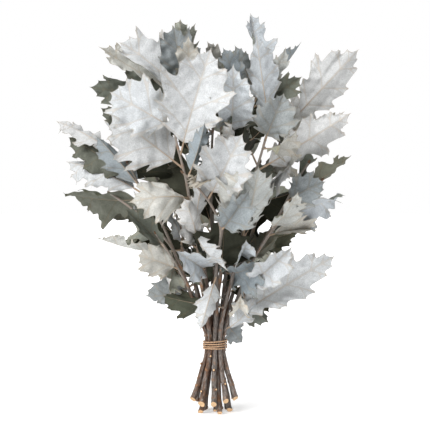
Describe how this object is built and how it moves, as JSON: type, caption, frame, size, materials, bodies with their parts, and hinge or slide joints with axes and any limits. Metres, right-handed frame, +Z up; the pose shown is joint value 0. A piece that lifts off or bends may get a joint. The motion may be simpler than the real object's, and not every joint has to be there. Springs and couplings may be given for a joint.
{
  "type": "dyed oak leaf bunch",
  "caption": "Tied bunch of dried, dyed red oak stems with pale lobed leaves, standing upright on its splayed cut ends",
  "frame": {"origin": "on the floor, at the middle of the cut end of the stem in the middle of the bunch", "axes": "+Z up along the bunch, from the cut ends to the crown; the front of the bunch faces -Y; +X is to the right seen from the front"},
  "size_m": [0.4908, 0.3175, 0.6418],
  "materials": {
    "white_leaf_stem": "dried, matte, dyed near white",
    "grey_leaf_stem": "dried, matte, dyed blue-grey and sage",
    "twine": "twisted jute, matte"
  },
  "bodies": {
    "root": {"leafy_stem_01": "white_leaf_stem", "leafy_stem_02": "grey_leaf_stem", "leafy_stem_03": "white_leaf_stem", "leafy_stem_04": "white_leaf_stem", "leafy_stem_05": "white_leaf_stem", "leafy_stem_06": "grey_leaf_stem", "leafy_stem_07": "grey_leaf_stem", "leafy_stem_08": "white_leaf_stem", "leafy_stem_09": "white_leaf_stem", "leafy_stem_10": "white_leaf_stem", "leafy_stem_11": "white_leaf_stem", "leafy_stem_12": "grey_leaf_stem", "leafy_stem_13": "white_leaf_stem", "leafy_stem_14": "white_leaf_stem", "leafy_stem_15": "white_leaf_stem", "leafy_stem_16": "grey_leaf_stem", "twine_tie": "twine"}
  },
  "joints": []
}
